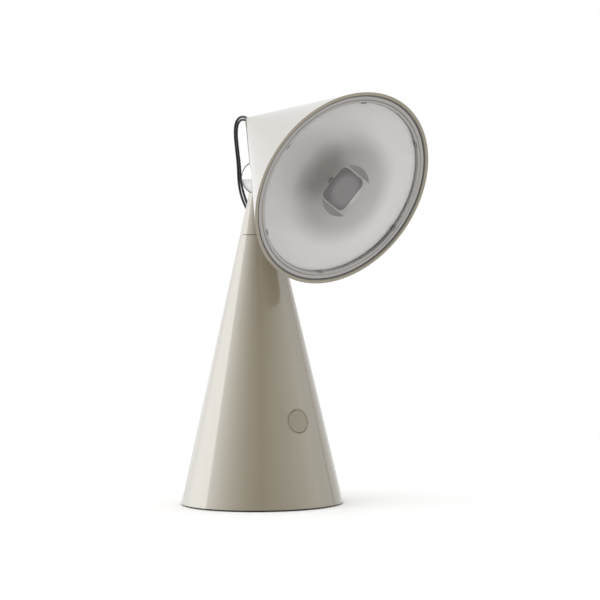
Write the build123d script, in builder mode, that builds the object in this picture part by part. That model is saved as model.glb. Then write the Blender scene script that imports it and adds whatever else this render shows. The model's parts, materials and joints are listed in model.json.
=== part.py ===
"""Tabletop searchlight lamp: a weighted cone carries a swivelling cap with a steel ball,
and a cone shade holds on to that ball with a magnet. Millimetres, +Z up, front is -Y.
The origin is the centre of the foot pad's underside."""

from build123d import *
from math import atan, cos, pi, radians, sin, sqrt, tan
import os

# Base cone and cap
base_radius = 57.5
cap_top_radius = 6.985
cone_wall = 1.8
floor_gap = 1.2
seam_height = 190.5
seam_gap = 0.4
cap_height = 29.1
land_depth = 6.5

# Foot, plate and ballast
pad_thickness = 1.5
pad_inset = 3.9
plate_thickness = 3.0
plate_inset = 3.3
ring_width = 13.5
ring_height = 5.0
base_screw_inset = 8.0
screw_count = 3
screw_start_angle = 30.0
base_screw_radius = 1.5
base_screw_head = (2.8, 1.6)
base_screw_sink = 1.8
ring_thread_floor = 0.5
ballast_gap = 1.0
ballast_height = 14.0

# Battery and boards
cell_radius = 9.2
cell_length = 65.0
cell_gap = 1.6
tray_side = 2.8
tray_floor = 2.0
socket_depth = 8.0
rod_radius = 1.5
rod_inset = 2.4
spacer_height = 4.0
spacer_wall = 1.2
spacer_inset = (3.5, 3.0)
board_thickness = 1.6
board_radius = 26.0
board_screw_radius = 1.0
board_screw_head = (1.9, 1.4)
board_screw_bite = 5.0
plug_place = (-8.0, 4.0)
plug_size = (8.0, 6.0, 5.0)
control_blocks = (
    (9.5, -10.0, 7.0, 7.0, 4.0),
    (-4.0, -9.0, 5.0, 5.0, 1.0),
    (6.0, 5.0, 4.0, 5.0, 1.5),
    (-2.0, 15.0, 8.0, 3.5, 2.0),
    (12.0, 15.5, 3.0, 2.0, 1.2),
)
tray_corner = 4.0
ballast_edge = 1.0
cell_edge = 0.6

# Charging port, low on the back
port_height = 24.0
port_width = 8.94
port_thickness = 3.26
port_sheet = 0.32
port_length = 7.3
port_floor = 1.0
port_tongue = (6.6, 0.7)
port_recess = 1.0
surround_wall = 1.5
surround_lip = 1.2
surround_depth = 3.6
surround_lip_thickness = 1.5
charge_board_size = (18.0, 11.0)
bracket_size = (16.0, 10.0)

# Push button, on the front
button_height = 61.0
button_radius = 7.85
button_gap = 0.35
button_travel = 0.8
button_lip_thickness = 1.0
button_lip_overhang = 1.1
plunger_radius = 1.4
bezel_wall = 0.8
bezel_proud = 0.15
guide_web = 1.0
guide_wall = 1.7
switch_width = 6.0
switch_height = 1.8
dome_rim = 1.7
dome_wall = 0.5

# Swivel in the seam
bush_wall = 2.44
bush_flange_width = 2.5
bush_flange_thickness = 1.1
bush_recess = 1.0
stem_radius = 4.0
stem_wall = 1.5
stem_flange_thickness = 4.0
washer_thickness = 1.0
tab_thickness = 1.2
tab_width = 5.0
tab_overhang = 1.2
swivel_nut_height = 3.5
swivel_nut_wall = 3.5
thread_overhang = 1.5
stop_pin_radius = 1.0
stop_pin_gap = 0.5
stop_pin_hold = 4.0
stop_pin_overhang = 0.5

# Steel ball on its stud
ball_radius = 12.5
ball_seat_inset = 0.36
stud_radius = 2.0
stud_hold = 8.0
web_thickness = 7.0
stud_nut_height = 3.2
stud_nut_wall = 2.04
stud_overhang = 1.5
stud_hole_end = 1.0

# Shade
shade_half_angle = 30.0
shade_pitch = 23.5
rim_radius = 71.7
shade_wall = 2.0
rim_round = 0.5
contact_reach = 43.6
tip_edge = 0.18
neck_length = 3.4
neck_depth = 1.6
ferrule_spigot = 5.0
ferrule_step = 1.5
ferrule_bore_depth = 1.4

# Magnet in the shade's underside
socket_radius = 6.2
socket_sink = 0.6
socket_proud = 0.8
socket_body_depth = 3.9
socket_flange_width = 2.8
socket_flange_thickness = 1.5
magnet_thickness = 4.0
keeper_wall = 1.2
keeper_side = 1.4

# Light unit, measured back from the rim plane
lens_recess = 2.5
lens_thickness = 2.5
lens_rim_gap = 2.05
lens_rise = 6.0
ledge_thickness = 2.0
ledge_width = 2.4
reflector_flange = 2.4
reflector_depth = 10.0
reflector_wall = 1.0
reflector_hole_gap = 0.6
spreader_gap = 4.15
spreader_thickness = 3.0
post_radius = 2.0
post_wall = 0.6
puck_length = 26.2
puck_breadth = 22.6
puck_corner = 5.0
puck_turn = 58.6
puck_height = 3.4
puck_edge = 0.6
post_hold = 2.2
grip_radius = 19.0
grip_inset = 14.2
grip_thickness = 0.4
led_board_inset = 0.6
led_board_thickness = 1.2
led_inset = 3.4
led_size = 2.8
led_height = 0.7
led_count = 6
bezel_overhang = 2.0
bezel_width = 5.2
bezel_thickness = 1.4
bezel_bevel = 0.6
bezel_groove_place = 0.5
bezel_groove_width = 0.6
bezel_groove_depth = 0.4
gasket_gap = 0.3
gasket_depth = 1.3
gasket_rise = 1.9
clip_width = 4.0
clip_height = 1.2
clip_bite = 1.2
clip_lip = 0.3
clip_count = 6

# Leads
lead_radius = 0.85
lead_pitch = 2.0
lead_entry_angle = 38.0
lead_entry_height = 14.1
lead_entry_run = 3.1
tip_runs = (6.1, 5.1)
grommet_wall = 0.77
grommet_inside = 3.2
grommet_outside = 1.0
connector_size = (5.6, 3.2, 8.0)
connector_depth = 5.2
harness_radius = 1.6
harness_rise = 11.9
harness_drop = 4.7
harness_end = 1.0
led_cable_radius = 1.2

# Bends of the leads, their heights from the ball's centre, and of the base's harness
outer_bends = (
    (-0.1, 26.9, 40.6),
    (-0.2, 28.9, 32.2),
    (-0.4, 27.3, 21.0),
    (-0.6, 24.9, 8.2),
    (-0.8, 24.3, -4.2),
    (-1.0, 20.2, -14.4),
)
inner_bends = (
    (0.1, 25.0, 38.8),
    (0.2, 26.8, 31.7),
    (0.4, 25.3, 20.7),
    (0.6, 23.0, 8.0),
    (0.8, 22.6, -3.6),
    (1.0, 18.9, -13.4),
)
harness_bends = (
    (-6.0, 3.0, 16.0),
    (-2.0, 1.5, 24.0),
)

# Named clearances, and how far a cutter runs past what it cuts
fit_gap = 0.05
running_gap = 0.06
loose_gap = 0.1
cut_margin = 3.0


def cone_outer(z):
    return base_radius - (z - floor_gap) * cone_slope


def cone_inner(z):
    return cone_outer(z) - cone_wall / cos(cone_tilt)


def shade_outer(s):
    return s * tan(radians(shade_half_angle))


def shade_inner(s):
    return shade_outer(s) - shade_wall / cos(radians(shade_half_angle))


def turn(section, axis, *points, mode=Mode.ADD):
    """Adds or cuts the solid that a closed half profile sweeps about its axis."""
    with BuildSketch(section) as profile:
        with BuildLine():
            Polyline(*points, close=True)
        make_face()
    revolve(profile.sketch, axis=axis, mode=mode)


def cap_rise(r, edge, height):
    """Height of a round cap above its edge, r from its centre; a dish has a negative height."""
    curvature = 2 * height / (edge**2 + height**2)
    return height - curvature * r**2 / (1 + sqrt(1 - (curvature * r) ** 2))


def cap_arc(start, stop, edge, height, seat):
    """Line along a round cap's profile from radius start to stop, seat being its edge's place."""
    ThreePointArc(
        *((r, seat + cap_rise(r, edge, height)) for r in (start, (start + stop) / 2, stop))
    )


def disc(plane, radius, height, mode=Mode.ADD):
    """Adds or cuts a round disc that stands on a plane."""
    with BuildSketch(plane) as face:
        Circle(radius)
    extrude(face.sketch, amount=height, mode=mode)


def screw(plane, head_radius, head_height, shank_radius, length):
    """Adds a pan-head screw: the plane is the seat of its head."""
    disc(plane, head_radius, head_height)
    disc(plane, shank_radius, -length)


def route_radii(points):
    """Radius of each arc of a lead: as large as its two runs allow."""
    radii = []
    for before, here, after in zip(points, points[1:], points[2:]):
        arriving = Vector(*here) - Vector(*before)
        leaving = Vector(*after) - Vector(*here)
        turned = radians(arriving.get_angle(leaving))
        radii.append(0.45 * min(arriving.length, leaving.length) / tan(turned / 2))
    return radii


def tube(points, radius):
    """Adds a round lead along straight runs joined by tangent arcs."""
    radii = route_radii(points)
    with BuildLine() as route:
        FilletPolyline(*points, radius=radii)
    with BuildSketch(Plane(origin=route.line @ 0, z_dir=route.line % 0)) as section:
        Circle(radius)
    sweep(section.sketch, path=route.line)
    return radii, sum(edge.length for edge in route.line.edges())


def finish(name, solid):
    solid.part.label = name
    export_step(solid.part, "parts/" + name + ".step")


# Base and cap: sizes that follow from the driving sizes
cap_bottom = seam_height + seam_gap
cap_top = cap_bottom + cap_height
web_bottom = cap_top - web_thickness
cone_slope = (base_radius - cap_top_radius) / (cap_top - floor_gap)
cone_tilt = atan(cone_slope)
pad_radius = base_radius - pad_inset
plate_radius = base_radius - plate_inset
ring_inner_radius = base_radius - ring_width
screw_ring = base_radius - base_screw_inset
ballast_radius = ring_inner_radius - ballast_gap
plate_top = pad_thickness + plate_thickness
ring_top = plate_top + ring_height
base_screw_seat = pad_thickness + base_screw_sink
base_screw_length = ring_top - ring_thread_floor - base_screw_seat
ballast_top = plate_top + ballast_height
cell_bottom = ballast_top + tray_floor
cell_spacing = 2 * cell_radius + cell_gap
tray_width = cell_spacing + 2 * cell_radius + 2 * tray_side
tray_depth = 2 * cell_radius + 2 * tray_side
rod_spacing = tray_depth - 2 * rod_inset
spacer_grid = (tray_width - 2 * spacer_inset[0], tray_depth - 2 * spacer_inset[1])
spacer_radius = board_screw_radius + spacer_wall
clamp_bottom = cell_bottom + cell_length - socket_depth
clamp_top = clamp_bottom + socket_depth + tray_floor
board_bottom = clamp_top + spacer_height
board_top = board_bottom + board_thickness
board_screw_length = board_top - clamp_top + board_screw_bite
plug_top = board_top + plug_size[2]

# Swivel: sizes that follow from the stem and the seam
land_bottom = seam_height - land_depth
bush_bore_radius = stem_radius + running_gap
bush_radius = bush_bore_radius + bush_wall
bush_flange_radius = bush_radius + bush_flange_width
stem_bore_radius = stem_radius - stem_wall
swivel_nut_radius = stem_radius + swivel_nut_wall
stop_pin_place = swivel_nut_radius + stop_pin_gap + stop_pin_radius
tab_reach = stop_pin_place + tab_overhang
bush_seat = seam_height - bush_recess
bush_top = bush_seat + bush_flange_thickness
stem_flange_bottom = bush_top + running_gap
stem_flange_top = stem_flange_bottom + stem_flange_thickness
washer_bottom = land_bottom - running_gap - washer_thickness
tab_bottom = washer_bottom - tab_thickness
swivel_nut_bottom = tab_bottom - swivel_nut_height
stem_bottom = swivel_nut_bottom - thread_overhang

# Ball: its flat sits just inside the edge of the cap's top
ball_flat_depth = sqrt(ball_radius**2 - (cap_top_radius - ball_seat_inset) ** 2)
ball_height = cap_top + ball_flat_depth
stud_nut_radius = stud_radius + stud_nut_wall

# Push button: depths run inwards from the cone's surface along the button's axis
bezel_bore_radius = button_radius + button_gap
bezel_radius = bezel_bore_radius + bezel_wall
button_lip_radius = button_radius + button_lip_overhang
guide_bore_radius = button_lip_radius + button_gap
guide_radius = guide_bore_radius + guide_wall
wall_curve = guide_radius**2 / (2 * cone_inner(button_height))
guide_top = cone_wall + wall_curve + loose_gap
lip_top = guide_top + guide_web + loose_gap
button_bottom = lip_top + button_lip_thickness
plunger_end = button_bottom + 2 * button_travel
guide_depth = plunger_end + switch_height
dome_radius = switch_width / sqrt(2) + dome_rim + 3 * dome_wall
dome_eye = plunger_radius + dome_wall

# Charging port: its socket lies on a board behind a surround in the wall
surround_width = port_width + 2 * surround_wall
surround_thickness = port_thickness + 2 * surround_wall
port_mouth = cone_outer(port_height) - port_recess
port_back = port_mouth - port_length
charge_board_top = port_height - port_thickness / 2
surround_back = cone_inner(port_height) - surround_depth
surround_reach = surround_depth + cone_wall + 2 * cut_margin
bracket_centre = surround_back - charge_board_size[1]

# Base directions and planes
centre_axis = Axis.Z
half_section = Plane.XZ
button_plane = Plane(
    origin=(0, -cone_outer(button_height), button_height),
    x_dir=(1, 0, 0),
    z_dir=(0, -cos(cone_tilt), sin(cone_tilt)),
)
port_plane = Plane(origin=(0, 0, port_height), x_dir=(-1, 0, 0), z_dir=(0, 1, 0))

# Shade directions and planes: the lower side of the shade rests on the ball
light_angle = radians(shade_pitch)
underside_angle = radians(shade_pitch + shade_half_angle)
light_dir = Vector(0, -cos(light_angle), -sin(light_angle))
underside_dir = Vector(0, -cos(underside_angle), -sin(underside_angle))
socket_dir = Vector(0, sin(underside_angle), -cos(underside_angle))
ball_centre = Vector(0, 0, ball_height)
contact_point = ball_centre - socket_dir * (ball_radius - socket_sink)
shade_apex = contact_point - underside_dir * contact_reach
light_axis = Axis(shade_apex, light_dir)
shade_section = Plane(
    origin=shade_apex,
    x_dir=(1, 0, 0),
    z_dir=(0, sin(light_angle), -cos(light_angle)),
)
socket_plane = Plane(origin=contact_point, x_dir=(1, 0, 0), z_dir=socket_dir)


def across(s):
    """Plane across the shade's axis, s from the apex, facing out of the mouth."""
    return Plane(origin=shade_apex + light_dir * s, x_dir=(1, 0, 0), z_dir=light_dir)


# Magnet unit: depths run inwards from the shade's underside
socket_flange_radius = socket_radius + socket_flange_width
socket_flange_front = socket_body_depth + socket_flange_thickness
magnet_radius = socket_flange_radius - keeper_side - loose_gap
keeper_end = socket_flange_front + magnet_thickness + keeper_wall

# Places along the light axis and radii about it that follow from the driving sizes
cone_angle = radians(shade_half_angle)
tip_start = (lead_pitch / 2 + lead_radius + fit_gap + tip_edge) / tan(cone_angle)
neck_start = tip_start + neck_length
ferrule_radius = shade_outer(neck_start) - ferrule_step
spigot_end = neck_start + ferrule_spigot
rim_place = rim_radius / tan(cone_angle)
lens_front = rim_place - lens_recess
lens_back = lens_front - lens_thickness
lens_radius = shade_inner(lens_front) - lens_rim_gap
reflector_front = lens_back - fit_gap
flange_back = reflector_front - reflector_wall
ledge_back = flange_back - ledge_thickness
ledge_inner_radius = lens_radius - ledge_width
reflector_mouth = lens_radius - reflector_flange
spreader_back = (
    (contact_reach + socket_flange_radius) * cos(cone_angle)
    + keeper_end * sin(cone_angle)
    + spreader_gap
)
spreader_front = spreader_back + spreader_thickness
reflector_hole = post_radius + reflector_hole_gap
post_bore_radius = post_radius - post_wall
bezel_outer_radius = lens_radius + bezel_overhang
bezel_inner_radius = bezel_outer_radius - bezel_width
groove_middle = bezel_inner_radius + bezel_width * bezel_groove_place
swell_radius = bezel_inner_radius - clip_lip - loose_gap
gasket_inner_radius = bezel_outer_radius + gasket_gap
puck_reach = puck_corner + sqrt(
    (puck_length / 2 - puck_corner) ** 2 + (puck_breadth / 2 - puck_corner) ** 2
)
puck_front = lens_back + cap_rise(puck_reach, swell_radius, lens_rise) - fit_gap
puck_back = puck_front - puck_height
led_board_back = puck_back - led_board_thickness
led_board_radius = puck_breadth / 2 - led_board_inset
led_circle_radius = led_board_radius - led_inset
post_top = puck_back + post_hold

# The lead's way into the cap
entry_angle = radians(lead_entry_angle)
entry_dir = Vector(0, cos(entry_angle), sin(entry_angle))
wall_height = cap_bottom + lead_entry_height
wall_point = Vector(0, cone_outer(wall_height), wall_height)
wall_plane = Plane(origin=wall_point, x_dir=(1, 0, 0), z_dir=entry_dir)
entry_point = wall_point + entry_dir * lead_entry_run
end_point = wall_point - entry_dir * connector_depth
connector_plane = Plane(origin=end_point, x_dir=(1, 0, 0), z_dir=entry_dir)
grommet_width = 2 * (lead_radius + fit_gap + grommet_wall)
grommet_length = lead_pitch + 2 * fit_gap + grommet_width

os.makedirs("parts", exist_ok=True)

# ---- Base ----

with BuildPart() as solid_cone:
    turn(
        half_section,
        centre_axis,
        (0, floor_gap),
        (base_radius + bezel_proud, floor_gap),
        (cone_outer(seam_height) + bezel_proud, seam_height),
        (0, seam_height),
    )

with BuildPart() as base_cone:
    turn(
        half_section,
        centre_axis,
        (base_radius, floor_gap),
        (cone_outer(seam_height), seam_height),
        (bush_flange_radius + fit_gap, seam_height),
        (bush_flange_radius + fit_gap, bush_seat),
        (bush_radius + fit_gap, bush_seat),
        (bush_radius + fit_gap, land_bottom),
        (cone_inner(land_bottom), land_bottom),
        (cone_inner(floor_gap), floor_gap),
    )
    disc(
        button_plane.offset(-guide_top - cut_margin),
        bezel_radius + fit_gap,
        guide_top + 2 * cut_margin,
        mode=Mode.SUBTRACT,
    )
    with BuildSketch(port_plane.offset(surround_back)):
        SlotOverall(surround_width + 2 * fit_gap, surround_thickness + 2 * fit_gap)
    extrude(amount=surround_reach, mode=Mode.SUBTRACT)
    with BuildSketch(Plane.XY.offset(land_bottom)):
        with Locations((0, stop_pin_place)):
            Circle(stop_pin_radius + fit_gap)
    extrude(amount=stop_pin_hold, mode=Mode.SUBTRACT)
finish("base_cone", base_cone)

with BuildPart() as foot_pad:
    disc(Plane.XY, pad_radius, pad_thickness)
finish("foot_pad", foot_pad)

with BuildPart() as base_plate:
    disc(Plane.XY.offset(pad_thickness), plate_radius, plate_thickness)
    with Locations(Plane.XY.offset(pad_thickness)):
        with PolarLocations(screw_ring, screw_count, screw_start_angle):
            Hole(base_screw_radius + loose_gap)
    with BuildSketch(Plane.XY.offset(pad_thickness)):
        with PolarLocations(screw_ring, screw_count, screw_start_angle):
            Circle(base_screw_head[0] + 2 * loose_gap)
    extrude(amount=base_screw_sink, mode=Mode.SUBTRACT)
finish("base_plate", base_plate)

with BuildPart() as mounting_ring:
    turn(
        half_section,
        centre_axis,
        (ring_inner_radius, plate_top),
        (cone_inner(plate_top) - fit_gap, plate_top),
        (cone_inner(ring_top) - fit_gap, ring_top),
        (ring_inner_radius, ring_top),
    )
    with BuildSketch(Plane.XY.offset(plate_top)):
        with PolarLocations(screw_ring, screw_count, screw_start_angle):
            Circle(base_screw_radius + fit_gap)
    extrude(amount=ring_height, mode=Mode.SUBTRACT)
finish("mounting_ring", mounting_ring)

with BuildPart() as base_screws:
    for place in PolarLocations(screw_ring, screw_count, screw_start_angle):
        seat = Plane(
            origin=(place.position.X, place.position.Y, base_screw_seat),
            z_dir=(0, 0, -1),
        )
        screw(seat, *base_screw_head, base_screw_radius, base_screw_length)
finish("base_screws", base_screws)

with BuildPart() as ballast:
    disc(Plane.XY.offset(plate_top), ballast_radius, ballast_height)
    chamfer(ballast.faces().sort_by(Axis.Z)[-1].edges(), ballast_edge)
finish("ballast", ballast)

with BuildPart() as battery_tray:
    with BuildSketch(Plane.XY.offset(ballast_top)):
        RectangleRounded(tray_width, tray_depth, tray_corner)
    extrude(amount=tray_floor + socket_depth)
    with BuildSketch(Plane.XY.offset(cell_bottom)):
        with GridLocations(cell_spacing, 0, 2, 1):
            Circle(cell_radius + loose_gap)
    extrude(amount=socket_depth, mode=Mode.SUBTRACT)
    with BuildSketch(Plane.XY.offset(ballast_top)):
        with GridLocations(0, rod_spacing, 1, 2):
            Circle(rod_radius + fit_gap)
    extrude(amount=tray_floor + socket_depth, mode=Mode.SUBTRACT)
finish("battery_tray", battery_tray)

with BuildPart() as battery_cells:
    with BuildSketch(Plane.XY.offset(cell_bottom)):
        with GridLocations(cell_spacing, 0, 2, 1):
            Circle(cell_radius)
    extrude(amount=cell_length)
    chamfer(battery_cells.edges().group_by(Axis.Z)[0], cell_edge)
    chamfer(battery_cells.edges().group_by(Axis.Z)[-1], cell_edge)
finish("battery_cells", battery_cells)

with BuildPart() as battery_clamp:
    with BuildSketch(Plane.XY.offset(clamp_bottom)):
        RectangleRounded(tray_width, tray_depth, tray_corner)
    extrude(amount=tray_floor + socket_depth)
    with BuildSketch(Plane.XY.offset(clamp_bottom)):
        with GridLocations(cell_spacing, 0, 2, 1):
            Circle(cell_radius + loose_gap)
    extrude(amount=socket_depth, mode=Mode.SUBTRACT)
    with BuildSketch(Plane.XY.offset(clamp_bottom)):
        with GridLocations(0, rod_spacing, 1, 2):
            Circle(rod_radius + fit_gap)
        with GridLocations(*spacer_grid, 2, 2):
            Circle(board_screw_radius + fit_gap)
    extrude(amount=tray_floor + socket_depth, mode=Mode.SUBTRACT)
finish("battery_clamp", battery_clamp)

with BuildPart() as tie_rods:
    with BuildSketch(Plane.XY.offset(ballast_top)):
        with GridLocations(0, rod_spacing, 1, 2):
            Circle(rod_radius)
    extrude(amount=clamp_top - ballast_top)
finish("tie_rods", tie_rods)

with BuildPart() as board_spacers:
    with BuildSketch(Plane.XY.offset(clamp_top)):
        with GridLocations(*spacer_grid, 2, 2):
            Circle(spacer_radius)
            Circle(board_screw_radius + fit_gap, mode=Mode.SUBTRACT)
    extrude(amount=spacer_height)
finish("board_spacers", board_spacers)

with BuildPart() as main_board:
    with BuildSketch(Plane.XY.offset(board_bottom)):
        Circle(board_radius)
        with GridLocations(*spacer_grid, 2, 2):
            Circle(board_screw_radius + fit_gap, mode=Mode.SUBTRACT)
    extrude(amount=board_thickness)
finish("main_board", main_board)

with BuildPart() as board_screws:
    for place in GridLocations(*spacer_grid, 2, 2):
        seat = Plane(origin=(place.position.X, place.position.Y, board_top))
        screw(seat, *board_screw_head, board_screw_radius, board_screw_length)
finish("board_screws", board_screws)

with BuildPart() as control_parts:
    for x, y, width, depth, height in control_blocks:
        with BuildSketch(Plane.XY.offset(board_top)):
            with Locations((x, y)):
                Rectangle(width, depth)
        extrude(amount=height)
finish("control_parts", control_parts)

with BuildPart() as harness_plug:
    with BuildSketch(Plane.XY.offset(board_top)):
        with Locations(plug_place):
            Rectangle(plug_size[0], plug_size[1])
    extrude(amount=plug_size[2])
finish("harness_plug", harness_plug)

# ---- Charging port ----

with BuildPart() as charge_port:
    with BuildSketch(port_plane.offset(port_back)):
        SlotOverall(port_width, port_thickness)
    extrude(amount=port_length)
    with BuildSketch(port_plane.offset(port_back + port_floor)):
        SlotOverall(port_width - 2 * port_sheet, port_thickness - 2 * port_sheet)
        Rectangle(*port_tongue, mode=Mode.SUBTRACT)
    extrude(amount=port_length, mode=Mode.SUBTRACT)
finish("charge_port", charge_port)

with BuildPart() as port_surround:
    with BuildSketch(port_plane.offset(surround_back)):
        SlotOverall(surround_width + 2 * surround_lip, surround_thickness + 2 * surround_lip)
    extrude(amount=surround_lip_thickness)
    with BuildSketch(port_plane.offset(surround_back)):
        SlotOverall(surround_width, surround_thickness)
    extrude(amount=surround_reach)
    with BuildSketch(port_plane.offset(surround_back)):
        SlotOverall(port_width + 2 * running_gap, port_thickness + 2 * running_gap)
    extrude(amount=surround_reach, mode=Mode.SUBTRACT)
    add(solid_cone.part, mode=Mode.INTERSECT)
finish("port_surround", port_surround)

with BuildPart() as charge_board:
    with BuildSketch(Plane.XY.offset(charge_board_top - board_thickness)):
        with Locations((0, surround_back - loose_gap - charge_board_size[1] / 2)):
            Rectangle(*charge_board_size)
    extrude(amount=board_thickness)
finish("charge_board", charge_board)

with BuildPart() as port_bracket:
    with BuildSketch(Plane.XY.offset(ballast_top)):
        with Locations((0, bracket_centre)):
            Rectangle(*bracket_size)
    extrude(amount=charge_board_top - board_thickness - ballast_top)
finish("port_bracket", port_bracket)

# ---- Push button ----

with BuildPart() as button_bezel:
    disc(button_plane.offset(-guide_top), bezel_radius, guide_top + cut_margin)
    disc(button_plane.offset(-guide_depth), guide_radius, guide_depth - guide_top)
    disc(
        button_plane.offset(-guide_depth),
        guide_bore_radius,
        guide_depth - guide_top - guide_web,
        mode=Mode.SUBTRACT,
    )
    disc(
        button_plane.offset(-guide_depth),
        bezel_bore_radius,
        guide_depth + cut_margin,
        mode=Mode.SUBTRACT,
    )
    add(solid_cone.part, mode=Mode.INTERSECT)
finish("button_bezel", button_bezel)

with BuildPart() as button_cap:
    disc(button_plane.offset(-button_bottom), button_radius, button_bottom + cut_margin)
    disc(button_plane.offset(-button_bottom), button_lip_radius, button_lip_thickness)
    disc(
        button_plane.offset(-plunger_end + loose_gap),
        plunger_radius,
        plunger_end - loose_gap - button_bottom,
    )
    add(solid_cone.part, mode=Mode.INTERSECT)
finish("button_cap", button_cap)

with BuildPart() as tact_switch:
    with BuildSketch(button_plane.offset(-guide_depth)):
        Rectangle(switch_width, switch_width)
        Circle(plunger_radius + button_gap, mode=Mode.SUBTRACT)
    extrude(amount=switch_height)
finish("tact_switch", tact_switch)

with BuildPart() as switch_board:
    disc(button_plane.offset(-guide_depth - board_thickness), guide_radius, board_thickness)
finish("switch_board", switch_board)

dome_section = Plane(
    origin=button_plane.origin, x_dir=(1, 0, 0), z_dir=button_plane.y_dir
)
dome_axis = Axis(button_plane.origin, button_plane.z_dir)
with BuildPart() as return_dome:
    turn(
        dome_section,
        dome_axis,
        (dome_radius - dome_rim, guide_depth),
        (dome_radius, guide_depth),
        (dome_radius, guide_depth - dome_wall),
        (dome_radius - dome_wall, guide_depth - 2 * dome_wall),
        (dome_radius - dome_rim - dome_wall, button_bottom),
        (dome_eye, button_bottom),
        (dome_eye, button_bottom + dome_wall),
        (dome_radius - dome_rim - 2 * dome_wall, button_bottom + dome_wall),
    )
finish("return_dome", return_dome)

# ---- Swivel ----

with BuildPart() as swivel_bush:
    turn(
        half_section,
        centre_axis,
        (bush_bore_radius, land_bottom),
        (bush_radius, land_bottom),
        (bush_radius, bush_seat),
        (bush_flange_radius, bush_seat),
        (bush_flange_radius, bush_top),
        (bush_bore_radius, bush_top),
    )
finish("swivel_bush", swivel_bush)

with BuildPart() as stop_pin:
    with BuildSketch(Plane.XY.offset(tab_bottom - stop_pin_overhang)):
        with Locations((0, stop_pin_place)):
            Circle(stop_pin_radius)
    extrude(amount=land_bottom + stop_pin_hold - tab_bottom + stop_pin_overhang)
finish("stop_pin", stop_pin)

with BuildPart() as swivel_stem:
    turn(
        half_section,
        centre_axis,
        (stem_bore_radius, stem_bottom),
        (stem_radius, stem_bottom),
        (stem_radius, stem_flange_bottom),
        (cone_inner(stem_flange_bottom) - fit_gap, stem_flange_bottom),
        (cone_inner(stem_flange_top) - fit_gap, stem_flange_top),
        (stem_bore_radius, stem_flange_top),
    )
finish("swivel_stem", swivel_stem)

with BuildPart() as swivel_washer:
    with BuildSketch(Plane.XY.offset(washer_bottom)):
        Circle(bush_radius)
        Circle(stem_radius + fit_gap, mode=Mode.SUBTRACT)
    extrude(amount=washer_thickness)
finish("swivel_washer", swivel_washer)

with BuildPart() as stop_washer:
    with BuildSketch(Plane.XY.offset(tab_bottom)):
        Circle(bush_radius)
        with Locations((0, -tab_reach / 2)):
            Rectangle(tab_width, tab_reach)
        Circle(stem_radius + fit_gap, mode=Mode.SUBTRACT)
    extrude(amount=tab_thickness)
finish("stop_washer", stop_washer)

with BuildPart() as swivel_nut:
    with BuildSketch(Plane.XY.offset(swivel_nut_bottom)):
        RegularPolygon(swivel_nut_radius, 6)
        Circle(stem_radius + fit_gap, mode=Mode.SUBTRACT)
    extrude(amount=swivel_nut_height)
finish("swivel_nut", swivel_nut)

# ---- Cap and ball ----

with BuildPart() as cap_cone:
    turn(
        half_section,
        centre_axis,
        (cone_outer(cap_bottom), cap_bottom),
        (cone_outer(cap_top), cap_top),
        (stud_radius + fit_gap, cap_top),
        (stud_radius + fit_gap, web_bottom),
        (cone_inner(web_bottom), web_bottom),
        (cone_inner(cap_bottom), cap_bottom),
    )
    with BuildSketch(wall_plane.offset(-grommet_inside - cut_margin)):
        SlotOverall(grommet_length + 2 * fit_gap, grommet_width + 2 * fit_gap)
    extrude(amount=grommet_inside + 2 * cut_margin, mode=Mode.SUBTRACT)
finish("cap_cone", cap_cone)

with BuildPart() as steel_ball:
    Sphere(ball_radius)
    split(bisect_by=Plane.XY.offset(-ball_flat_depth), keep=Keep.TOP)
    disc(
        Plane.XY.offset(-ball_flat_depth),
        stud_radius + fit_gap,
        stud_hold + stud_hole_end,
        mode=Mode.SUBTRACT,
    )
steel_ball.part.position = (0, 0, ball_height)
finish("steel_ball", steel_ball)

with BuildPart() as ball_stud:
    disc(
        Plane.XY.offset(web_bottom - stud_nut_height - stud_overhang),
        stud_radius,
        stud_nut_height + stud_overhang + web_thickness + stud_hold,
    )
finish("ball_stud", ball_stud)

with BuildPart() as stud_nut:
    with BuildSketch(Plane.XY.offset(web_bottom - stud_nut_height)):
        RegularPolygon(stud_nut_radius, 6)
        Circle(stud_radius + fit_gap, mode=Mode.SUBTRACT)
    extrude(amount=stud_nut_height)
finish("stud_nut", stud_nut)

with BuildPart() as lead_grommet:
    with BuildSketch(wall_plane.offset(-grommet_inside)):
        SlotOverall(grommet_length, grommet_width)
        with GridLocations(lead_pitch + 2 * fit_gap, 0, 2, 1):
            Circle(lead_radius + fit_gap, mode=Mode.SUBTRACT)
    extrude(amount=grommet_inside + grommet_outside)
finish("lead_grommet", lead_grommet)

with BuildPart() as lead_connector:
    with BuildSketch(connector_plane.offset(-connector_size[2])):
        Rectangle(connector_size[0], connector_size[1])
    extrude(amount=connector_size[2])
finish("lead_connector", lead_connector)

# ---- Shade ----

with BuildPart() as shade_cone:
    turn(
        shade_section,
        light_axis,
        (ferrule_radius + fit_gap, neck_start),
        (shade_outer(neck_start), neck_start),
        (rim_radius, rim_place),
        (shade_inner(rim_place), rim_place),
        (shade_inner(flange_back), flange_back),
        (ledge_inner_radius, flange_back),
        (ledge_inner_radius, ledge_back),
        (shade_inner(ledge_back), ledge_back),
        (shade_inner(spigot_end), spigot_end),
        (ferrule_radius + fit_gap, neck_start + neck_depth),
    )
    disc(
        socket_plane.offset(-socket_flange_front),
        socket_radius + fit_gap,
        socket_flange_front + cut_margin,
        mode=Mode.SUBTRACT,
    )
    rim_edges = shade_cone.edges().filter_by(GeomType.CIRCLE).sort_by(light_axis)[-2:]
    fillet(rim_edges, rim_round)
finish("shade_cone", shade_cone)

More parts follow.
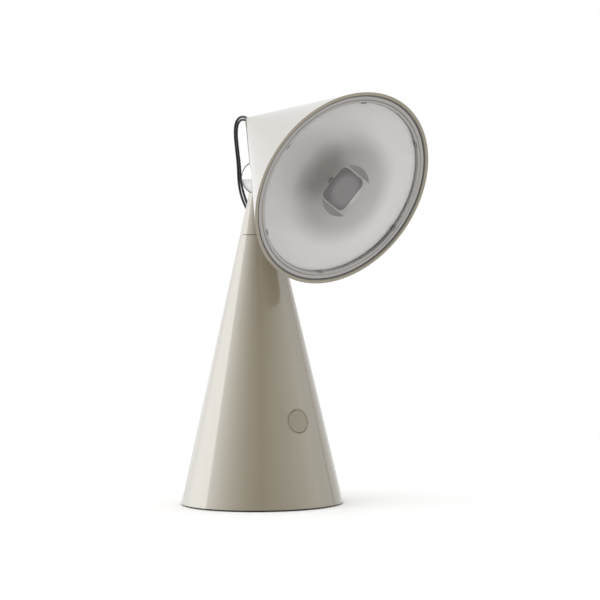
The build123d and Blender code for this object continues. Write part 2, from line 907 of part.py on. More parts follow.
with BuildPart() as tip_ferrule:
    turn(
        shade_section,
        light_axis,
        (0, tip_start),
        (shade_outer(tip_start), tip_start),
        (shade_outer(neck_start), neck_start),
        (ferrule_radius, neck_start),
        (ferrule_radius, spigot_end),
        (0, spigot_end),
    )
    with BuildSketch(across(tip_start)):
        with GridLocations(0, lead_pitch, 1, 2):
            Circle(lead_radius + fit_gap)
    extrude(amount=ferrule_bore_depth, mode=Mode.SUBTRACT)
finish("tip_ferrule", tip_ferrule)

with BuildPart() as ball_socket:
    disc(
        socket_plane.offset(-socket_body_depth), socket_radius, socket_body_depth + socket_proud
    )
    disc(
        socket_plane.offset(-socket_flange_front),
        socket_flange_radius,
        socket_flange_thickness,
    )
    with Locations(ball_centre):
        Sphere(ball_radius + running_gap, mode=Mode.SUBTRACT)
finish("ball_socket", ball_socket)

with BuildPart() as magnet:
    disc(
        socket_plane.offset(-socket_flange_front - magnet_thickness),
        magnet_radius,
        magnet_thickness,
    )
finish("magnet", magnet)

with BuildPart() as magnet_keeper:
    disc(
        socket_plane.offset(-keeper_end),
        socket_flange_radius,
        magnet_thickness + keeper_wall,
    )
    disc(
        socket_plane.offset(-socket_flange_front - magnet_thickness),
        magnet_radius + loose_gap,
        magnet_thickness,
        mode=Mode.SUBTRACT,
    )
finish("magnet_keeper", magnet_keeper)

# ---- Light unit ----

with BuildPart() as heat_spreader:
    turn(
        shade_section,
        light_axis,
        (led_cable_radius + loose_gap, spreader_back),
        (shade_inner(spreader_back) - loose_gap, spreader_back),
        (shade_inner(spreader_front) - loose_gap, spreader_front),
        (led_cable_radius + loose_gap, spreader_front),
    )
finish("heat_spreader", heat_spreader)

with BuildPart() as reflector:
    hole_place = cap_rise(reflector_hole, reflector_mouth, -reflector_depth)
    with BuildSketch(shade_section) as profile:
        with BuildLine():
            cap_arc(reflector_hole, reflector_mouth, reflector_mouth, -reflector_depth, flange_back)
            Polyline(
                (reflector_mouth, flange_back),
                (lens_radius - loose_gap, flange_back),
                (lens_radius - loose_gap, reflector_front),
                (reflector_mouth, reflector_front),
            )
            cap_arc(
                reflector_mouth, reflector_hole, reflector_mouth, -reflector_depth, reflector_front
            )
            Line(
                (reflector_hole, reflector_front + hole_place),
                (reflector_hole, flange_back + hole_place),
            )
        make_face()
    revolve(profile.sketch, axis=light_axis)
finish("reflector", reflector)

with BuildPart() as led_post:
    with BuildSketch(across(spreader_front)):
        Circle(post_radius)
        Circle(post_bore_radius, mode=Mode.SUBTRACT)
    extrude(amount=post_top - spreader_front)
finish("led_post", led_post)

with BuildPart() as led_puck:
    with BuildSketch(across(puck_back)):
        RectangleRounded(puck_length, puck_breadth, puck_corner, rotation=puck_turn)
    extrude(amount=puck_height)
    disc(across(puck_back), post_radius + fit_gap, post_top - puck_back, mode=Mode.SUBTRACT)
    chamfer(led_puck.faces().sort_by(light_axis)[-1].edges(), puck_edge)
finish("led_puck", led_puck)

with BuildPart() as led_board:
    with BuildSketch(across(led_board_back)):
        Circle(led_board_radius)
        Circle(post_radius + fit_gap, mode=Mode.SUBTRACT)
    extrude(amount=led_board_thickness)
finish("led_board", led_board)

with BuildPart() as led_emitters:
    with BuildSketch(across(led_board_back)):
        with PolarLocations(led_circle_radius, led_count):
            Rectangle(led_size, led_size)
    extrude(amount=-led_height)
finish("led_emitters", led_emitters)

with BuildPart() as led_cable:
    with BuildSketch(across(spigot_end)):
        Circle(led_cable_radius)
    extrude(amount=post_top - spigot_end)
finish("led_cable", led_cable)

with BuildPart() as lens:
    with BuildSketch(shade_section) as profile:
        with BuildLine():
            cap_arc(0, swell_radius, swell_radius, lens_rise, lens_front)
            Polyline(
                (swell_radius, lens_front),
                (lens_radius, lens_front),
                (lens_radius, lens_back),
                (swell_radius, lens_back),
            )
            cap_arc(swell_radius, 0, swell_radius, lens_rise, lens_back)
            Line((0, lens_back + lens_rise), (0, lens_front + lens_rise))
        make_face()
    revolve(profile.sketch, axis=light_axis)
finish("lens", lens)

with BuildPart() as lens_grips:
    grip_seat = lens_front + fit_gap
    grip_top = grip_seat + grip_thickness
    with BuildSketch(shade_section) as profile:
        with BuildLine():
            cap_arc(0, grip_radius, swell_radius, lens_rise, grip_seat)
            grip_edge = cap_rise(grip_radius, swell_radius, lens_rise)
            Line((grip_radius, grip_seat + grip_edge), (grip_radius, grip_top + grip_edge))
            cap_arc(grip_radius, 0, swell_radius, lens_rise, grip_top)
            Line((0, grip_top + lens_rise), (0, grip_seat + lens_rise))
        make_face()
    revolve(profile.sketch, axis=light_axis)
    with BuildSketch(across(lens_front)):
        Rectangle(2 * grip_inset, 2 * grip_radius, rotation=puck_turn)
    extrude(amount=2 * lens_rise, mode=Mode.SUBTRACT)
finish("lens_grips", lens_grips)

with BuildPart() as bezel_ring:
    turn(
        shade_section,
        light_axis,
        (bezel_inner_radius, lens_front),
        (lens_radius, lens_front),
        (bezel_outer_radius, lens_front + bezel_thickness / 2),
        (bezel_outer_radius, lens_front + bezel_thickness),
        (bezel_inner_radius + bezel_bevel, lens_front + bezel_thickness),
    )
    turn(
        shade_section,
        light_axis,
        (groove_middle - bezel_groove_width / 2, lens_front + bezel_thickness),
        (groove_middle, lens_front + bezel_thickness - bezel_groove_depth),
        (groove_middle + bezel_groove_width / 2, lens_front + bezel_thickness),
        mode=Mode.SUBTRACT,
    )
    with BuildSketch(across(lens_front)):
        with PolarLocations(bezel_inner_radius + clip_bite, clip_count, start_angle=90):
            Rectangle(cut_margin, clip_width + 2 * fit_gap, align=(Align.MAX, Align.CENTER))
    extrude(amount=2 * bezel_thickness, mode=Mode.SUBTRACT)
finish("bezel_ring", bezel_ring)

with BuildPart() as bezel_clips:
    with BuildSketch(across(lens_front)):
        with PolarLocations(bezel_inner_radius + clip_bite - fit_gap, clip_count, start_angle=90):
            Rectangle(clip_bite + clip_lip, clip_width, align=(Align.MAX, Align.CENTER))
    extrude(amount=clip_height)
finish("bezel_clips", bezel_clips)

with BuildPart() as lens_gasket:
    turn(
        shade_section,
        light_axis,
        (lens_radius + loose_gap, lens_front - gasket_depth),
        (shade_inner(lens_front - gasket_depth) - fit_gap, lens_front - gasket_depth),
        (shade_inner(lens_front + gasket_rise) - fit_gap, lens_front + gasket_rise),
        (gasket_inner_radius, lens_front + gasket_rise),
        (gasket_inner_radius, lens_front + bezel_thickness / 2),
        (lens_radius + loose_gap, lens_front - loose_gap),
    )
finish("lens_gasket", lens_gasket)

# ---- Leads ----

side = (lead_pitch + 2 * fit_gap) / 2
up_dir = Vector(0, -sin(light_angle), cos(light_angle))


def tip_point(s, offset):
    place = shade_apex + light_dir * s + up_dir * offset
    return (place.X, place.Y, place.Z)


def lead_route(offset, run, bends, x):
    """Points of a lead: out of the ferrule, over its bends, and into the cap."""
    middle = [(bend[0], bend[1], ball_height + bend[2]) for bend in bends]
    start = [tip_point(tip_start + ferrule_bore_depth, offset), tip_point(tip_start - run, offset)]
    return start + middle + [(x, entry_point.Y, entry_point.Z), (x, end_point.Y, end_point.Z)]


outer_route = lead_route(lead_pitch / 2, tip_runs[0], outer_bends, -side)
inner_route = lead_route(-lead_pitch / 2, tip_runs[1], inner_bends, side)
first_bend, second_bend = harness_bends
harness_route = [
    (plug_place[0], plug_place[1], plug_top),
    (plug_place[0], plug_place[1], plug_top + harness_rise),
    (first_bend[0], first_bend[1], plug_top + harness_rise + first_bend[2]),
    (second_bend[0], second_bend[1], stem_bottom - harness_drop - second_bend[2]),
    (0, 0, stem_bottom - harness_drop),
    (0, 0, stem_flange_top + harness_end),
]

with BuildPart() as lead_outer:
    outer_radii, outer_length = tube(outer_route, lead_radius)
finish("lead_outer", lead_outer)

with BuildPart() as lead_inner:
    inner_radii, inner_length = tube(inner_route, lead_radius)
finish("lead_inner", lead_inner)

with BuildPart() as base_harness:
    harness_radii, harness_length = tube(harness_route, harness_radius)
finish("base_harness", base_harness)

for name, solid, radius, radii, length in (
    ("lead_outer", lead_outer, lead_radius, outer_radii, outer_length),
    ("lead_inner", lead_inner, lead_radius, inner_radii, inner_length),
    ("base_harness", base_harness, harness_radius, harness_radii, harness_length),
):
    expected = pi * radius**2 * length
    print(name, "length", round(length, 1), "radii", [round(r, 1) for r in radii])
    print(name, "volume", round(solid.part.volume, 1), "section x length", round(expected, 1))
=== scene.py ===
import json
import math

import bmesh
import bpy
from mathutils import Matrix, Vector


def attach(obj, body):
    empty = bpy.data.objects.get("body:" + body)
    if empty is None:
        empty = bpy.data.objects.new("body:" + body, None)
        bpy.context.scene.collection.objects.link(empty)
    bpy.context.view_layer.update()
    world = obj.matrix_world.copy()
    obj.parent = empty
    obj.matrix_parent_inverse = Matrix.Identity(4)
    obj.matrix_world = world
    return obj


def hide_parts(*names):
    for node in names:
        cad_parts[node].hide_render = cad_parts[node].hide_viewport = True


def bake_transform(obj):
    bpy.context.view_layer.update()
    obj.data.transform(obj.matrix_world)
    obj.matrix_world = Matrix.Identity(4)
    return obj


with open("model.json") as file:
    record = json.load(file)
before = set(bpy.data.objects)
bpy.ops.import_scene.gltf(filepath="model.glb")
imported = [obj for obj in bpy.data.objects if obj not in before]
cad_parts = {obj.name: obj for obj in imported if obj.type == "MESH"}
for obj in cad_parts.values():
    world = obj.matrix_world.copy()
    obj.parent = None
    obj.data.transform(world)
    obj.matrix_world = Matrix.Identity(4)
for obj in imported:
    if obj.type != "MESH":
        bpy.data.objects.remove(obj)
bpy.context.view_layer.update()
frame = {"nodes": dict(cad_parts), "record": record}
nodes = frame["nodes"]
bpy.ops.object.select_all(action="DESELECT")
print("frame loaded:", len(nodes), "nodes")


# Camera and leads

cameraView = {
    "azimuth": -36.741,      # degrees about Z, measured from the front
    "elevation": 2.860,
    "roll": -0.555,
    "distance": 2.4,
    "lens": 203.96,          # mm, on a 36 mm sensor
    "aim": (0.0225, -0.0168, 0.1439),
}


def addCamera(view):
    azimuth = math.radians(view["azimuth"])
    elevation = math.radians(view["elevation"])
    roll = math.radians(view["roll"])
    back = Vector((
        math.sin(azimuth) * math.cos(elevation),
        -math.cos(azimuth) * math.cos(elevation),
        math.sin(elevation),
    ))
    right = Vector((math.cos(azimuth), math.sin(azimuth), 0))
    up = right.cross(-back)
    turnedRight = right * math.cos(roll) + up * math.sin(roll)
    turnedUp = up * math.cos(roll) - right * math.sin(roll)
    camera = bpy.data.cameras.new("camera")
    camera.lens = view["lens"]
    holder = bpy.data.objects.new("camera", camera)
    bpy.context.scene.collection.objects.link(holder)
    turn = Matrix((turnedRight, turnedUp, back)).transposed().to_4x4()
    holder.matrix_world = Matrix.Translation(Vector(view["aim"]) + back * view["distance"]) @ turn
    bpy.context.scene.camera = holder


addCamera(cameraView)

leads = {
    "radius": 0.00085,
    "sides": 16,
    "resolution": 12,        # steps of the spline between its points
    "turnLow": (0.0, 0.0247, 0.2342),    # the ends of the stretch of lead that bends when the shade tilts
    "turnHigh": (0.0, 0.0285, 0.2628),
    "outer": {
        "length": 0.0920,
        "exit": (0.0, 0.012668, 0.272208),
        "points": (
            (0.0, 0.011384, 0.271650), (0.0, 0.018262, 0.274641), (0.0, 0.0269, 0.2712),
            (-0.0001, 0.0289, 0.2628), (-0.0001, 0.0273, 0.2516), (-0.0002, 0.0249, 0.2388),
            (-0.0004, 0.0243, 0.2264), (-0.0008, 0.0202, 0.2162), (-0.00105, 0.0129, 0.2069),
            (-0.00105, 0.006360, 0.201790),
        ),
    },
    "inner": {
        "length": 0.0865,
        "exit": (0.0, 0.013466, 0.270374),
        "points": (
            (0.0, 0.012182, 0.269816), (0.0, 0.018143, 0.272408), (0.0, 0.0250, 0.2694),
            (0.0001, 0.0268, 0.2623), (0.0001, 0.0253, 0.2513), (0.0002, 0.0230, 0.2386),
            (0.0004, 0.0226, 0.2270), (0.0008, 0.0189, 0.2172), (0.00105, 0.0129, 0.2069),
            (0.00105, 0.006360, 0.201790),
        ),
    },
}


def splinePoints(name, points, resolution):
    # Points read along a NURBS spline that has the route's points as its control points
    curve = bpy.data.curves.new(name, "CURVE")
    curve.dimensions = "3D"
    curve.resolution_u = resolution
    spline = curve.splines.new("NURBS")
    spline.points.add(len(points) - 1)
    for control, place in zip(spline.points, points):
        control.co = (*place, 1.0)
    spline.order_u = 3
    spline.use_endpoint_u = True
    holder = bpy.data.objects.new(name, curve)
    bpy.context.scene.collection.objects.link(holder)
    bpy.context.view_layer.update()
    line = bpy.data.meshes.new_from_object(holder)
    path = [vertex.co.copy() for vertex in line.vertices]
    bpy.data.objects.remove(holder)
    bpy.data.curves.remove(curve)
    bpy.data.meshes.remove(line)
    return path


def tubeMesh(name, path, radius, sides):
    # A round tube along a path, closed at both ends, with its length kept in a UV map
    mesh = bmesh.new()
    uvLayer = mesh.loops.layers.uv.new("along")
    rings = []
    travelled = [0.0]
    for before, here in zip(path, path[1:]):
        travelled.append(travelled[-1] + (here - before).length)
    side = Vector((1, 0, 0))
    for index, place in enumerate(path):
        ahead = path[min(index + 1, len(path) - 1)] - path[max(index - 1, 0)]
        ahead.normalize()
        side = (side - ahead * side.dot(ahead)).normalized()
        other = ahead.cross(side)
        rings.append([
            mesh.verts.new(place + (side * math.cos(step) + other * math.sin(step)) * radius)
            for step in (2 * math.pi * k / sides for k in range(sides))
        ])
    for index, (ring, nextRing) in enumerate(zip(rings, rings[1:])):
        for k in range(sides):
            after = (k + 1) % sides
            face = mesh.faces.new((ring[k], ring[after], nextRing[after], nextRing[k]))
            face.smooth = True
            corners = ((k, index), (k + 1, index), (k + 1, index + 1), (k, index + 1))
            for loop, (around, along) in zip(face.loops, corners):
                loop[uvLayer].uv = (around / sides, travelled[along] / (2 * math.pi * radius))
    mesh.faces.new(list(reversed(rings[0])))
    mesh.faces.new(rings[-1])
    data = bpy.data.meshes.new(name)
    mesh.to_mesh(data)
    mesh.free()
    piece = bpy.data.objects.new(name, data)
    bpy.context.scene.collection.objects.link(piece)
    return piece


leadPieces = []
for leadName in ("outer", "inner"):
    lead = leads[leadName]
    path = splinePoints(leadName, lead["points"], leads["resolution"])
    piece = tubeMesh(leadName + "Lead", path, leads["radius"], leads["sides"])
    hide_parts("lead_" + leadName)
    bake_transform(piece)
    leadPieces.append(piece)
print("camera and leads made")


# Pieces of the shade

shadeAxis = {
    "apex": (0.0, 0.016368, 0.272727),   # where the cone's sides would meet
    "across": (1.0, 0.0, 0.0),
    "up": (0.0, -0.398749, 0.917060),
    "beam": (0.0, -0.917060, -0.398749),
}
shadePlace = Matrix.Translation(shadeAxis["apex"]) @ Matrix(
    [shadeAxis[name] for name in ("across", "up", "beam")]).transposed().to_4x4()


def arc(start, stop, edge, height, seat, steps):
    # Points of a round cap's profile, seat being the place of its edge along the axis
    curvature = 2 * height / (edge ** 2 + height ** 2)
    points = []
    for step in range(steps + 1):
        radius = start + (stop - start) * step / steps
        drop = curvature * radius ** 2 / (1 + math.sqrt(1 - (curvature * radius) ** 2))
        points.append((radius, seat + height - drop))
    return points


def latheMesh(name, profile, sides):
    # A profile of radii and places along Z drawn out ring by ring, closed at both ends
    bpy.ops.object.select_all(action="DESELECT")
    radius, along = profile[0]
    bpy.ops.mesh.primitive_circle_add(vertices=sides, radius=radius, location=(0, 0, along))
    piece = bpy.context.object
    piece.name = name
    bpy.ops.object.transform_apply(location=True, rotation=True, scale=True)
    bpy.ops.object.mode_set(mode="EDIT")
    bpy.ops.mesh.select_all(action="SELECT")
    bpy.ops.mesh.edge_face_add()
    bpy.ops.mesh.select_all(action="SELECT")
    for (radius, along), (nextRadius, nextAlong) in zip(profile, profile[1:]):
        bpy.ops.mesh.extrude_region_move(TRANSFORM_OT_translate={"value": (0, 0, nextAlong - along)})
        scale = nextRadius / radius
        bpy.ops.transform.resize(value=(scale, scale, 1), center_override=(0, 0, nextAlong))
    bpy.ops.mesh.select_all(action="SELECT")
    bpy.ops.mesh.normals_make_consistent(inside=False)
    bpy.ops.object.mode_set(mode="OBJECT")
    return piece


def setPiece(piece, place, node, slotName, body):
    # A finished piece in its place, instead of its CAD node
    bpy.ops.object.select_all(action="DESELECT")
    piece.select_set(True)
    bpy.context.view_layer.objects.active = piece
    piece.matrix_world = place
    bpy.ops.object.transform_apply(location=True, rotation=True, scale=True)
    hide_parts(node)
    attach(piece, body)
    finished.append((piece, slotName))


finished = []
lens = {
    "front": 0.121688,       # places along the beam and radii, in metres
    "back": 0.119188,
    "radius": 0.065897,
    "swellRadius": 0.062297,
    "swell": 0.006,
    "middle": 0.0004,
    "edgeRound": 0.0003,
    "rings": 22,
    "sides": 128,
    "smoothAngle": 20,       # degrees
}


def makeLens():
    middle, outer = lens["middle"], lens["swellRadius"]
    front = arc(middle, outer, outer, lens["swell"], lens["front"], lens["rings"])
    back = arc(outer, middle, outer, lens["swell"], lens["back"], lens["rings"])
    edge = lens["edgeRound"]
    rim = [
        (lens["radius"] - edge, lens["front"]),
        (lens["radius"], lens["front"] - edge),
        (lens["radius"], lens["back"] + edge),
        (lens["radius"] - edge, lens["back"]),
    ]
    piece = latheMesh("lensGlass", front + rim + back, lens["sides"])
    bpy.ops.object.shade_smooth_by_angle(angle=math.radians(lens["smoothAngle"]))
    setPiece(piece, shadePlace, "lens", "clear_lens", "shade")


grips = {
    "radius": 0.0190,
    "inset": 0.0142,         # the straight side's distance from the middle
    "turn": 58.6,            # degrees about the beam, from across the shade
    "lift": 0.00005,
    "thickness": 0.0004,
    "edgeRound": 0.00015,
    "rings": 6,
    "sides": 96,
    "smoothAngle": 30,
}


def makeGrips():
    # Two half-moon pads that follow the lens's swell
    def swell(start, stop, lift):
        seat = lens["front"] + grips["lift"] + lift
        return arc(start, stop, lens["swellRadius"], lens["swell"], seat, grips["rings"])

    edge = grips["edgeRound"]
    outside = swell(lens["middle"], grips["radius"] - edge, grips["thickness"])
    inside = swell(grips["radius"], lens["middle"], 0)
    side = [(grips["radius"], outside[-1][1] - edge)]
    for name, turn in (("gripHigh", grips["turn"]), ("gripLow", grips["turn"] + 180)):
        piece = latheMesh(name, outside + side + inside, grips["sides"])
        bpy.ops.object.mode_set(mode="EDIT")
        bpy.ops.mesh.select_all(action="SELECT")
        bpy.ops.mesh.bisect(
            plane_co=(grips["inset"], 0, 0), plane_no=(1, 0, 0), use_fill=True, clear_inner=True)
        bpy.ops.object.mode_set(mode="OBJECT")
        bpy.ops.object.shade_smooth_by_angle(angle=math.radians(grips["smoothAngle"]))
        turned = shadePlace @ Matrix.Rotation(math.radians(turn), 4, "Z")
        setPiece(piece, turned, "lens_grips", "dark_aluminium", "shade")


makeLens()
makeGrips()
print("lens and grips made")


# Shader helpers

class Socket:
    # An output of a shader node: maths on it adds Math nodes
    def __init__(self, tree, source):
        self.tree = tree
        self.source = source

    def maths(self, operation, first, second):
        return self.tree.maths(operation, first, second)

    def __add__(self, other):
        return self.maths("ADD", self, other)

    def __radd__(self, other):
        return self.maths("ADD", other, self)

    def __sub__(self, other):
        return self.maths("SUBTRACT", self, other)

    def __rsub__(self, other):
        return self.maths("SUBTRACT", other, self)

    def __mul__(self, other):
        return self.maths("MULTIPLY", self, other)

    def __rmul__(self, other):
        return self.maths("MULTIPLY", other, self)

    def __truediv__(self, other):
        return self.maths("DIVIDE", self, other)

    def __pow__(self, other):
        return self.maths("POWER", self, other)


class ShaderTree:
    # The node tree of one material or of the world
    def __init__(self, owner):
        owner.use_nodes = True
        self.nodes = owner.node_tree.nodes
        self.links = owner.node_tree.links
        self.nodes.clear()

    def add(self, kind, settings=None, inputs=None, output=0):
        node = self.nodes.new(kind)
        for key, value in (settings or {}).items():
            if key == "stops":
                self.setStops(node.color_ramp, value)
            else:
                setattr(node, key, value)
        for key, value in (inputs or {}).items():
            if isinstance(value, Socket):
                self.links.new(value.source, node.inputs[key])
            else:
                node.inputs[key].default_value = value
        return Socket(self, node.outputs[output]) if node.outputs else None

    def setStops(self, ramp, stops):
        while len(ramp.elements) > 1:
            ramp.elements.remove(ramp.elements[-1])
        ramp.elements[0].position = stops[0][0]
        ramp.elements[0].color = stops[0][1]
        for place, colour in stops[1:]:
            ramp.elements.new(place).color = colour

    def maths(self, operation, first, second):
        return self.add("ShaderNodeMath", {"operation": operation}, {0: first, 1: second})

    def vector(self, operation, first, second):
        inputs = {0: first, 1: second}
        output = "Value" if operation in ("DOT_PRODUCT", "LENGTH", "DISTANCE") else "Vector"
        return self.add("ShaderNodeVectorMath", {"operation": operation}, inputs, output)

    def place(self):
        return self.add("ShaderNodeTexCoord", output="Object")

    def noise(self, scale, detail=2.0):
        inputs = {"Vector": self.place(), "Scale": scale, "Detail": detail}
        return self.add("ShaderNodeTexNoise", None, inputs)

    def fade(self, value, start, end):
        # 0 before start, 1 after end, and an even turn between them
        inputs = {"Value": value, "From Min": start, "From Max": end}
        return self.add("ShaderNodeMapRange", {"interpolation_type": "SMOOTHSTEP"}, inputs)

    def blend(self, factor, first, second):
        # A Mix node's colours are its inputs 6 and 7 and its output 2
        inputs = {0: factor, 6: first, 7: second}
        return self.add("ShaderNodeMix", {"data_type": "RGBA"}, inputs, output=2)

    def bump(self, height, strength, distance):
        inputs = {"Height": height, "Strength": strength, "Distance": distance}
        return self.add("ShaderNodeBump", None, inputs)

    def finish(self, surface):
        self.add("ShaderNodeOutputMaterial", None, {"Surface": surface})


def linear(red, green, blue):
    # A colour written as 0 to 255 screen values, turned by the sRGB curve
    def channel(value):
        share = value / 255
        return share / 12.92 if share <= 0.04045 else ((share + 0.055) / 1.055) ** 2.4
    return (channel(red), channel(green), channel(blue), 1.0)


def principled(name, sockets, build=None):
    # A material whose even values are set on the shader, and whose varying ones come from build
    material = bpy.data.materials.new(name)
    tree = ShaderTree(material)
    inputs = dict(sockets)
    if build:
        inputs.update(build(tree))
    tree.finish(tree.add("ShaderNodeBsdfPrincipled", None, inputs))
    return material


def shades(colour, mottle):
    # The same colour a little darker and a little lighter
    base = linear(*colour)[:3]
    darker = tuple(value * (1 - mottle) for value in base) + (1.0,)
    lighter = tuple(min(1.0, value * (1 + mottle)) for value in base) + (1.0,)
    return darker, lighter


drift = {
    "scale": 35,             # slow changes over a piece, per metre
    "paintScale": 28,
    "lensScale": 40,
    "detail": 3.0,
}


def surfaceLook(
        name, shader, colour, roughness,
        mottle=0.04, grain=900, depth=0.00001, strength=0.2, wear=0.05):
    # Colour that drifts a little, roughness that drifts with it, and a fine relief
    def build(tree):
        slow = tree.noise(drift["scale"], drift["detail"])
        fine = tree.noise(grain)
        return {
            "Base Color": tree.blend(slow, *shades(colour, mottle)),
            "Roughness": slow * wear + (roughness - wear / 2),
            "Normal": tree.bump(fine, strength, depth),
        }
    return principled(name, shader, build)


# Finishes

paint = {
    "colour": (146, 138, 119),
    "mottle": 0.025,
    "speck": 2600,               # fine specks of colour, per metre
    "speckShare": 0.3,
    "roughness": 0.16,
    "wear": 0.05,
    "orangePeel": 420,           # ripples of the sprayed gloss, per metre
    "peelDepth": 0.000006,
    "peelStrength": 0.25,
    "shader": {"IOR": 1.5, "Coat Weight": 1.0, "Coat Roughness": 0.03},
}


def makePaint():
    def build(tree):
        slow = tree.noise(drift["paintScale"], drift["detail"])
        speck = tree.noise(paint["speck"], 1.0)
        ripple = tree.noise(paint["orangePeel"])
        mask = slow * (1 - paint["speckShare"]) + speck * paint["speckShare"]
        return {
            "Base Color": tree.blend(mask, *shades(paint["colour"], paint["mottle"])),
            "Roughness": paint["roughness"] + (slow - 0.5) * paint["wear"],
            "Normal": tree.bump(ripple, paint["peelStrength"], paint["peelDepth"]),
        }
    return principled("glossPaint", paint["shader"], build)


lensLook = {
    "haloShade": (0.70, 0.695, 0.69, 1.0),   # painted shade: tint of a grey ring round the middle, standing in for the shade round the LED puck
    "innerFade": (0.008, 0.015),         # radii over which the ring comes in and goes out
    "outerFade": (0.026, 0.046),
    "roughness": 0.03,
    "wear": 0.01,
    "shader": {"IOR": 1.49, "Transmission Weight": 1.0},
}


def makeLensLook():
    def build(tree):
        fromApex = tree.vector("SUBTRACT", tree.place(), shadeAxis["apex"])
        along = tree.vector("DOT_PRODUCT", fromApex, shadeAxis["beam"])
        length = tree.vector("LENGTH", fromApex, (0, 0, 0))
        radius = (length ** 2.0 - along ** 2.0) ** 0.5
        comes = tree.fade(radius, *lensLook["innerFade"])
        goes = tree.fade(radius, *lensLook["outerFade"])
        slow = tree.noise(drift["lensScale"])
        return {
            # Painted shade: the lens is tinted grey in a ring round the puck, so the dish seen through it
            # looks shaded there
            "Base Color": tree.blend(comes * (1 - goes), (1.0, 1.0, 1.0, 1.0), lensLook["haloShade"]),
            "Roughness": lensLook["roughness"] + (slow - 0.5) * lensLook["wear"],
        }
    return principled("clearLens", lensLook["shader"], build)


finishes = {
    "stone_paint": makePaint(),
    "grey_rubber": surfaceLook(
        "greyRubber", {"IOR": 1.5}, colour=(96, 94, 90), roughness=0.5, mottle=0.08, grain=1800,
        depth=0.00003, strength=0.4),
    "stone_plastic": surfaceLook(
        "paintedPlastic", {"IOR": 1.5}, colour=(146, 138, 119), roughness=0.22, mottle=0.02,
        grain=700),
    "dark_rubber": surfaceLook(
        "darkRubber", {"IOR": 1.5}, colour=(42, 41, 39), roughness=0.72, mottle=0.12, grain=1800,
        depth=0.00003, strength=0.5),
    "clear_silicone": surfaceLook(
        "siliconeRubber", {"IOR": 1.41}, colour=(176, 174, 168), roughness=0.42, mottle=0.03,
        grain=1200),
    "zinc_steel": surfaceLook(
        "zincPlate", {"Metallic": 1.0}, colour=(176, 178, 180), roughness=0.34, mottle=0.08,
        grain=1500, depth=0.00002, strength=0.3, wear=0.12),
    "black_steel": surfaceLook(
        "blackenedSteel", {"Metallic": 0.6}, colour=(52, 52, 53), roughness=0.5, mottle=0.08,
        grain=1500, depth=0.00002, strength=0.3),
    "bright_nickel": surfaceLook(
        "brightNickel", {"Metallic": 1.0}, colour=(205, 200, 190), roughness=0.18, mottle=0.04,
        grain=1500),
    "polished_steel": surfaceLook(
        "polishedSteel", {"Metallic": 1.0, "Specular Tint": (0.12, 0.12, 0.12, 1.0)},
        colour=(222, 222, 222), roughness=0.05, mottle=0.015, grain=1200, depth=0.000004,
        strength=0.05, wear=0.03),
    "cast_iron": surfaceLook(
        "castIron", {"Metallic": 0.6}, colour=(78, 77, 76), roughness=0.62, mottle=0.15, grain=1100,
        depth=0.0001, strength=0.6, wear=0.15),
    "black_plastic": surfaceLook(
        "blackPlastic", {"IOR": 1.5}, colour=(34, 34, 35), roughness=0.42, mottle=0.1, grain=2200,
        depth=0.00003, strength=0.35),
    "white_plastic": surfaceLook(
        "whitePlastic", {"IOR": 1.5}, colour=(222, 221, 216), roughness=0.4, mottle=0.03,
        grain=2000, depth=0.00002, strength=0.3),
    "cell_wrap": surfaceLook(
        "cellWrap", {"IOR": 1.48}, colour=(58, 98, 142), roughness=0.3, mottle=0.06, grain=900),
    "green_board": surfaceLook(
        "greenBoard", {"IOR": 1.5}, colour=(28, 88, 54), roughness=0.35, mottle=0.12, grain=1600,
        depth=0.00003, strength=0.4),
    "white_board": surfaceLook(
        "whiteBoard", {"IOR": 1.5}, colour=(226, 226, 222), roughness=0.35, mottle=0.03,
        grain=1600),
    "black_cable": surfaceLook(
        "cableSheath", {"IOR": 1.4}, colour=(20, 20, 21), roughness=0.5, mottle=0.12, grain=1500,
        depth=0.00003, strength=0.3),
    "plain_aluminium": surfaceLook(
        "plainAluminium", {"Metallic": 1.0}, colour=(190, 190, 190), roughness=0.32, mottle=0.05,
        grain=1300, depth=0.00002, strength=0.3, wear=0.1),
    "dark_aluminium": surfaceLook(
        "darkAluminium", {"Metallic": 0.2}, colour=(126, 123, 122), roughness=0.4, mottle=0.04,
        grain=1300),
    "phosphor": surfaceLook(
        "phosphor", {"IOR": 1.45}, colour=(248, 196, 92), roughness=0.45, mottle=0.06, grain=1800),
    "satin_reflector": surfaceLook(
        "satinDish", {"Metallic": 0.55}, colour=(228, 226, 224), roughness=0.36, mottle=0.015,
        grain=900, depth=0.00001, strength=0.05, wear=0.04),
    "clear_lens": makeLensLook(),
    "satin_silver": surfaceLook(
        "satinSilver", {"Metallic": 0.9}, colour=(166, 163, 160), roughness=0.30, mottle=0.04,
        grain=1200),
}

for part in frame["record"]["subparts"]:
    data = nodes[part["node"]].data
    data.materials.clear()
    data.materials.append(finishes[part["material_slot"]])
for piece in leadPieces:
    piece.data.materials.append(finishes["black_cable"])
for piece, slotName in finished:
    piece.data.materials.append(finishes[slotName])
print("finishes set")


# Studio

studio = {
    "aim": (0.0, -0.02, 0.15),
    "fill": 0.80,                # the even light of the room
    "lamps": {                   # degrees to the camera's left, height, distance, size, watts
        "key": (70, 1.30, 1.20, (1.20, 1.20), 3.0),
        "low": (0, 0.25, 1.30, (0.90, 0.50), 2.0),
    },
    # What gloss mirrors all round: degrees to the camera's left, and strength
    "room": (
        (-180, 0.95), (-150, 0.90), (-127, 0.95), (-124.5, 0.25), (-122, 1.10), (-112, 1.15), (-89, 1.60),
        (-60, 1.20), (-28, 0.60), (0, 0.12), (25, 0.65), (50, 1.75), (76, 3.20), (87.5, 3.60),
        (88.5, 5.80), (114, 3.90), (138, 1.80), (157, 1.15), (180, 0.90),
    ),
    "roomTop": 1.2,              # what gloss mirrors overhead
    "topFade": (0.55, 0.85),     # share of straight up over which that comes in
    "floorSize": 6.0,
    "floorColour": 0.92,
    "floorGain": 1.25,           # how much paler than its own colour the floor is seen
    "floorFade": (0.30, 0.62),   # metres from the object over which the floor turns plain white
}


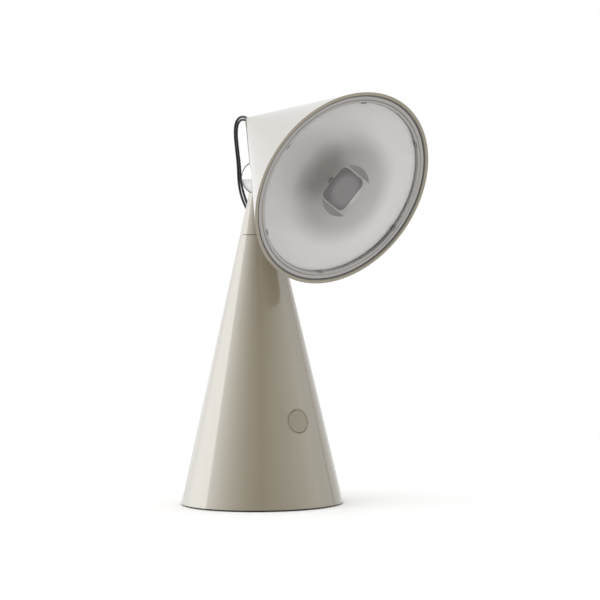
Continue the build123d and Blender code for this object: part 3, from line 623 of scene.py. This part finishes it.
def around(degrees, height, distance):
    # A place round the object, where 0 degrees is the camera's own side
    turned = math.radians(cameraView["azimuth"] - degrees)
    return Vector((distance * math.sin(turned), -distance * math.cos(turned), height))


def makeLamp(name, degrees, height, distance, size, watts):
    # A soft box that gloss doesn't mirror
    lamp = bpy.data.lights.new(name, "AREA")
    lamp.shape = "RECTANGLE"
    lamp.size, lamp.size_y = size
    lamp.energy = watts
    holder = bpy.data.objects.new(name, lamp)
    bpy.context.scene.collection.objects.link(holder)
    place = around(degrees, height, distance)
    towards = Vector(studio["aim"]) - place
    holder.matrix_world = Matrix.Translation(place) @ towards.to_track_quat("-Z", "Y").to_matrix().to_4x4()
    holder.visible_glossy = False


def makeRoom():
    # The camera sees plain white, gloss sees panels round the room, and the rest is even light
    world = bpy.data.worlds.new("room")
    bpy.context.scene.world = world
    tree = ShaderTree(world)
    ahead = tree.place()
    toCamera = tree.vector("DOT_PRODUCT", ahead, around(0, 0, 1))
    toLeft = tree.vector("DOT_PRODUCT", ahead, around(90, 0, 1))
    toTop = tree.vector("DOT_PRODUCT", ahead, Vector((0, 0, 1)))
    turn = tree.maths("ARCTAN2", toLeft, toCamera) / (2 * math.pi) + 0.5
    brightest = max(strength for degrees, strength in studio["room"])
    stops = [
        (degrees / 360 + 0.5, (strength / brightest,) * 3 + (1.0,))
        for degrees, strength in studio["room"]
    ]
    panels = tree.add("ShaderNodeValToRGB", {"stops": stops}, {"Fac": turn}) * brightest
    overhead = tree.fade(toTop, *studio["topFade"])
    mirrored = panels * (1 - overhead) + overhead * studio["roomTop"]
    camera = tree.add("ShaderNodeLightPath", output="Is Camera Ray")
    gloss = tree.maths(
        "MAXIMUM",
        tree.add("ShaderNodeLightPath", output="Is Glossy Ray"),
        tree.add("ShaderNodeLightPath", output="Is Transmission Ray"),
    )
    strength = camera + (1 - camera) * (gloss * mirrored + (1 - gloss) * studio["fill"])
    light = tree.add("ShaderNodeBackground", None, {"Color": (1, 1, 1, 1), "Strength": strength})
    tree.add("ShaderNodeOutputWorld", None, {"Surface": light})


def makeFloor():
    bpy.ops.mesh.primitive_plane_add(size=studio["floorSize"])
    floor = bpy.context.object
    floor.name = "floor"
    look = bpy.data.materials.new("floorLook")
    tree = ShaderTree(look)
    fade = tree.fade(tree.vector("LENGTH", tree.place(), (0, 0, 0)), *studio["floorFade"])
    plain, pale = (
        tree.add("ShaderNodeBsdfDiffuse", None, {"Color": (studio[name],) * 3 + (1.0,)})
        for name in ("floorColour", "floorGain")
    )
    white = tree.add("ShaderNodeEmission", None, {"Color": (1, 1, 1, 1), "Strength": 1.0})
    shown = tree.add("ShaderNodeMixShader", None, {0: fade, 1: pale, 2: white})
    camera = tree.add("ShaderNodeLightPath", output="Is Camera Ray")
    gloss = tree.add("ShaderNodeLightPath", output="Is Glossy Ray")
    seen = tree.maths("MAXIMUM", camera, gloss)
    tree.finish(tree.add("ShaderNodeMixShader", None, {0: seen, 1: plain, 2: shown}))
    floor.data.materials.append(look)


for lampName, lampPlace in studio["lamps"].items():
    makeLamp(lampName, *lampPlace)
makeRoom()
makeFloor()
bpy.context.scene.view_settings.view_transform = "Standard"
print("studio set")
